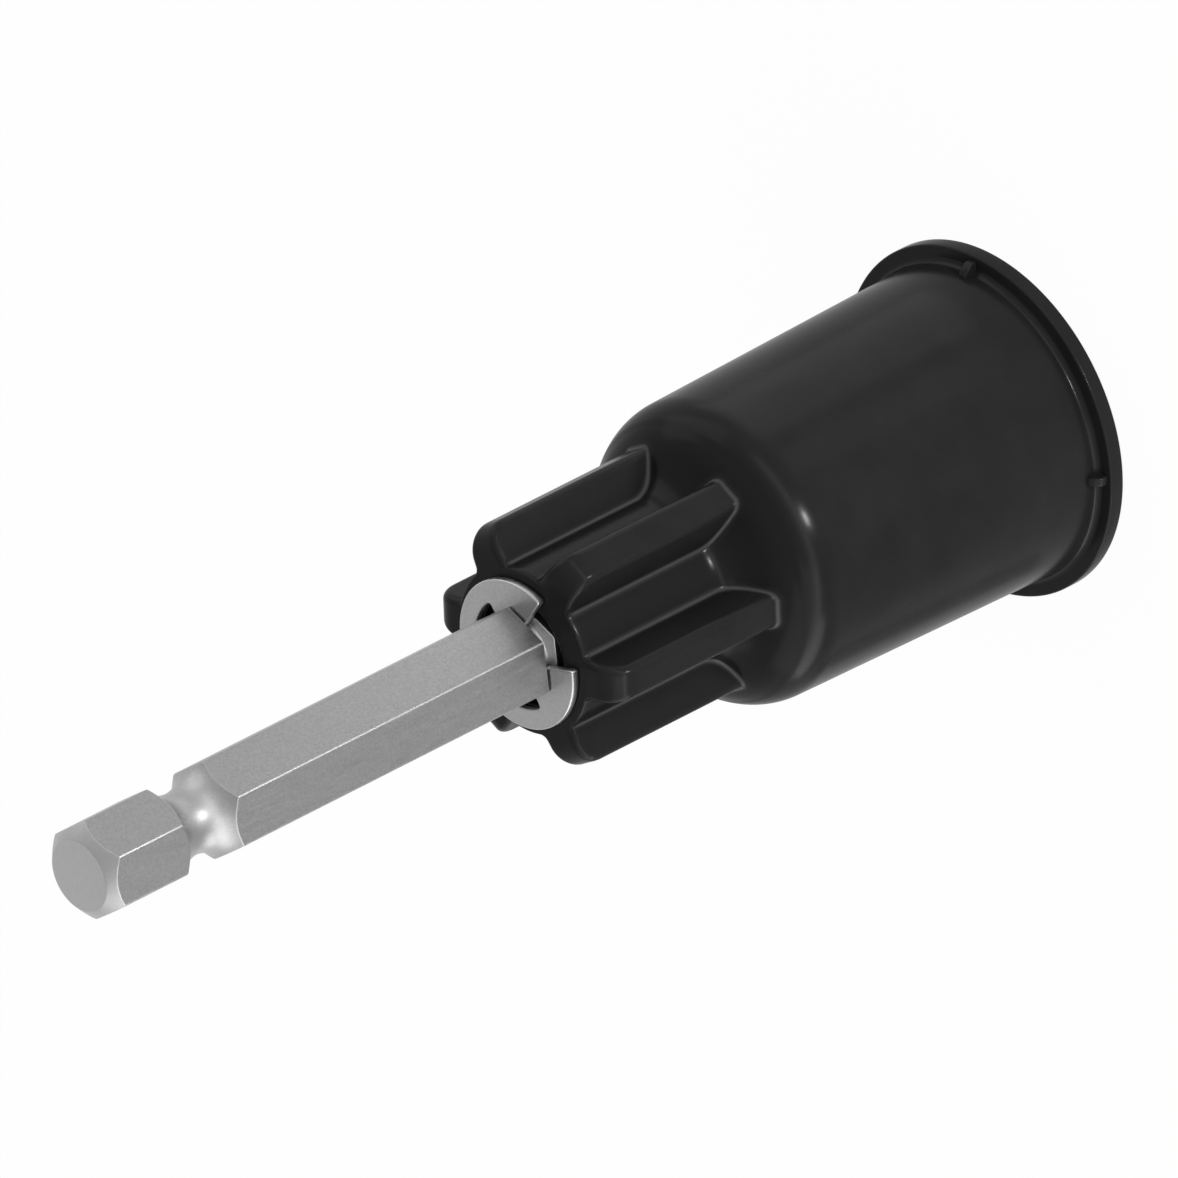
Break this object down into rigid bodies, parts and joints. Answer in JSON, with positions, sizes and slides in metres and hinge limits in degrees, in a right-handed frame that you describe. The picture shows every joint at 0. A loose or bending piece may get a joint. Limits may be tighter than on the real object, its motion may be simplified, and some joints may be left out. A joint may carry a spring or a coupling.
{
  "type": "offset driver bit",
  "caption": "Hex-shank power driver bit that spins freely in a ribbed black stop cup. The cup's flanged rim rides on the work, so the screw head is left at a set height.",
  "frame": {"origin": "centre of the cup's rim face, which rests on the work", "axes": "+Z along the tool's axis towards the shank's end, +X through one of the nose ribs"},
  "size_m": [0.0256, 0.0256, 0.086],
  "materials": {
    "black_plastic": "moulded black plastic, satin gloss",
    "bit_steel": "satin bare tool steel, fine grained",
    "clip_steel": "stamped spring steel, bright"
  },
  "bodies": {
    "cup": {"stop_cup": "black_plastic"},
    "bit": {"driver_bit": "bit_steel", "outer_clip": "clip_steel", "inner_clip": "clip_steel"}
  },
  "joints": [
    {"name": "bit_spin", "type": "hinge", "parent": "cup", "child": "bit", "pos_m": [0, 0, 0.036], "axis": [0, 0, 1], "continuous": true}
  ]
}
